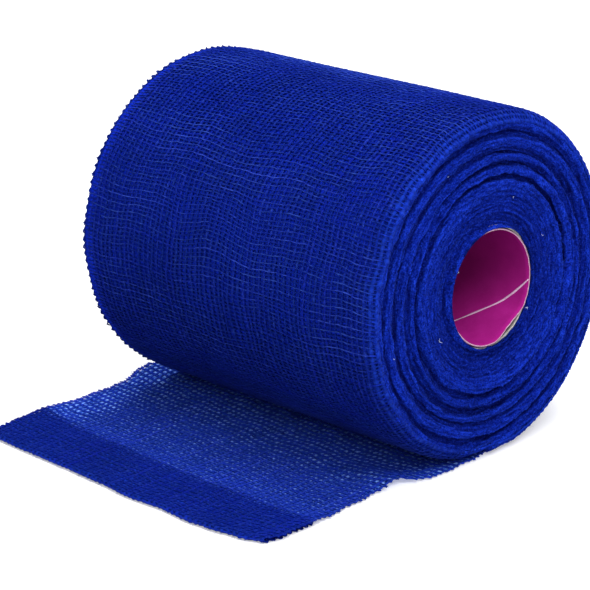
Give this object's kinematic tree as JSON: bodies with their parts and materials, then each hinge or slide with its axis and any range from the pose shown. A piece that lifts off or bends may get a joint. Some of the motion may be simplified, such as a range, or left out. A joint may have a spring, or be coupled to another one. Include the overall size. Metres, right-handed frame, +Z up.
{
  "type": "cohesive bandage roll",
  "caption": "Roll of blue open-weave cohesive gauze bandage on a lined paper core, lying on its side with its loose end laid out flat and folded under at the cut.",
  "frame": {"origin": "centre of the underside of the whole part, on the surface it lies on", "axes": "+Z up; the roll's axis runs along Y, with the end face that shows in the picture at -Y; the loose end lies towards -X"},
  "size_m": [0.1208, 0.108, 0.0872],
  "materials": {
    "cloth": "matt crinkled open plain weave, dyed deep royal blue, softly fuzzy at the selvedges",
    "board": "plain pale grey-cream board with a raw cut edge",
    "liner": "smooth magenta paper ply with a pale cut edge and one helical seam, no print"
  },
  "bodies": {
    "root": {"bandage_roll": "cloth", "loose_end": "cloth", "core_tube": "board", "core_liner": "liner"}
  },
  "joints": []
}
